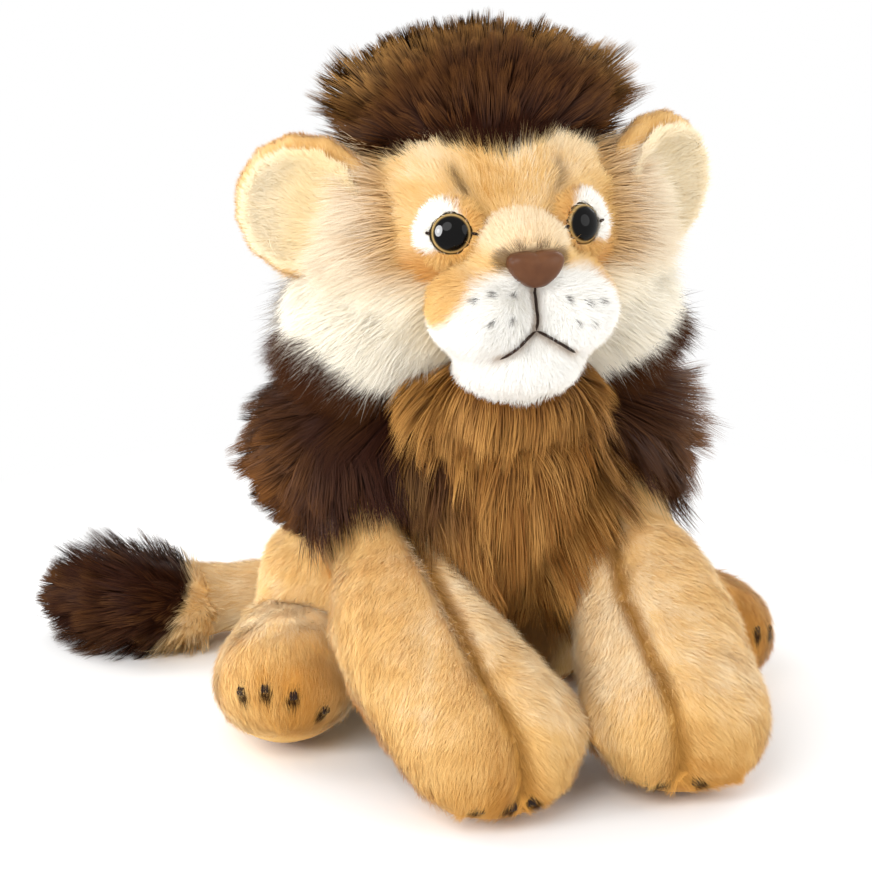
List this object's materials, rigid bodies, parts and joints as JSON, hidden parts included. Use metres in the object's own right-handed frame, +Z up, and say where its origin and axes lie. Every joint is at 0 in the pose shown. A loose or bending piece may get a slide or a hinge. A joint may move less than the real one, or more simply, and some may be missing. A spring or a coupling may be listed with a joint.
{
  "type": "hand puppet",
  "caption": "Seated plush lion hand puppet with a long dark mane, a hollow body for the hand and finger pockets that work the head and forelegs.",
  "frame": {"origin": "middle of the seat's flat underside, on the surface that the puppet sits on", "axes": "+Z up, the lion faces -Y and its own left side is +X"},
  "size_m": [0.247, 0.2318, 0.2393],
  "materials": {
    "tan_plush": "short golden tan pile",
    "cream_plush": "cream pile",
    "white_plush": "short white pile",
    "dark_mane": "long dark brown pile",
    "brown_mane": "long golden brown pile",
    "lining_cloth": "plain woven cloth",
    "fibre_filling": "loose white fibre",
    "eye_plastic": "glossy black with an amber ring",
    "nose_plastic": "smooth brown",
    "washer_plastic": "moulded nylon"
  },
  "bodies": {
    "torso": {"seat_panel": "tan_plush", "torso_skin": "tan_plush", "torso_stuffing": "fibre_filling", "palm_lining": "lining_cloth", "opening_hem": "lining_cloth", "chest_bib": "brown_mane", "mane_cape": "dark_mane", "left_collar": "dark_mane", "right_collar": "dark_mane"},
    "neck": {"neck_sleeve": "lining_cloth"},
    "head": {"head_skin": "tan_plush", "head_stuffing": "fibre_filling", "head_finger_pocket": "lining_cloth", "left_eye": "eye_plastic", "right_eye": "eye_plastic", "left_eye_washer": "washer_plastic", "right_eye_washer": "washer_plastic", "left_eye_patch": "white_plush", "right_eye_patch": "white_plush", "nose": "nose_plastic", "nose_washer": "washer_plastic", "left_whisker_pad": "white_plush", "right_whisker_pad": "white_plush", "chin": "white_plush", "muzzle_bridge": "tan_plush", "left_ear_back": "tan_plush", "right_ear_back": "tan_plush", "left_ear_front": "cream_plush", "right_ear_front": "cream_plush", "left_cheek": "cream_plush", "right_cheek": "cream_plush", "mane_crest": "dark_mane", "mane_nape": "dark_mane", "throat_ruff": "brown_mane"},
    "left_pocket": {"left_finger_pocket": "lining_cloth"},
    "right_pocket": {"right_finger_pocket": "lining_cloth"},
    "left_foreleg": {"left_foreleg_skin": "tan_plush", "left_foreleg_stuffing": "fibre_filling"},
    "right_foreleg": {"right_foreleg_skin": "tan_plush", "right_foreleg_stuffing": "fibre_filling"},
    "left_hind_leg": {"left_hind_leg_skin": "tan_plush", "left_hind_leg_stuffing": "fibre_filling"},
    "right_hind_leg": {"right_hind_leg_skin": "tan_plush", "right_hind_leg_stuffing": "fibre_filling"},
    "tail": {"tail_skin": "tan_plush", "tail_stuffing": "fibre_filling", "tail_tuft": "dark_mane"}
  },
  "joints": [
    {"name": "head_turn", "type": "hinge", "parent": "torso", "child": "neck", "pos_m": [0, -0.004, 0.121], "axis": [0, 0, 1], "range_deg": [-40, 40], "deforming": ["chest_bib", "mane_cape", "left_collar", "right_collar"]},
    {"name": "head_nod", "type": "hinge", "parent": "neck", "child": "head", "pos_m": [0, -0.004, 0.121], "axis": [1, 0, 0], "range_deg": [-20, 25], "deforming": ["throat_ruff", "mane_nape"]},
    {"name": "left_foreleg_spread", "type": "hinge", "parent": "torso", "child": "left_pocket", "pos_m": [0.041, -0.028, 0.07], "axis": [0, 0, 1], "range_deg": [0, 12], "deforming": ["left_finger_pocket"]},
    {"name": "left_foreleg_lift", "type": "hinge", "parent": "left_pocket", "child": "left_foreleg", "pos_m": [0.041, -0.028, 0.07], "axis": [-1, 0, 0], "range_deg": [0, 45]},
    {"name": "right_foreleg_spread", "type": "hinge", "parent": "torso", "child": "right_pocket", "pos_m": [-0.041, -0.028, 0.07], "axis": [0, 0, -1], "range_deg": [0, 12], "deforming": ["right_finger_pocket"]},
    {"name": "right_foreleg_lift", "type": "hinge", "parent": "right_pocket", "child": "right_foreleg", "pos_m": [-0.041, -0.028, 0.07], "axis": [-1, 0, 0], "range_deg": [0, 45]},
    {"name": "left_hind_leg_swing", "type": "hinge", "parent": "torso", "child": "left_hind_leg", "pos_m": [0.058, 0.009, 0.038], "axis": [1, 0, 0], "range_deg": [0, 60]},
    {"name": "right_hind_leg_swing", "type": "hinge", "parent": "torso", "child": "right_hind_leg", "pos_m": [-0.058, 0.009, 0.038], "axis": [1, 0, 0], "range_deg": [0, 60]},
    {"name": "tail_swing", "type": "hinge", "parent": "torso", "child": "tail", "pos_m": [0, 0.048, 0.021], "axis": [0, 0, -1], "range_deg": [0, 35]}
  ]
}
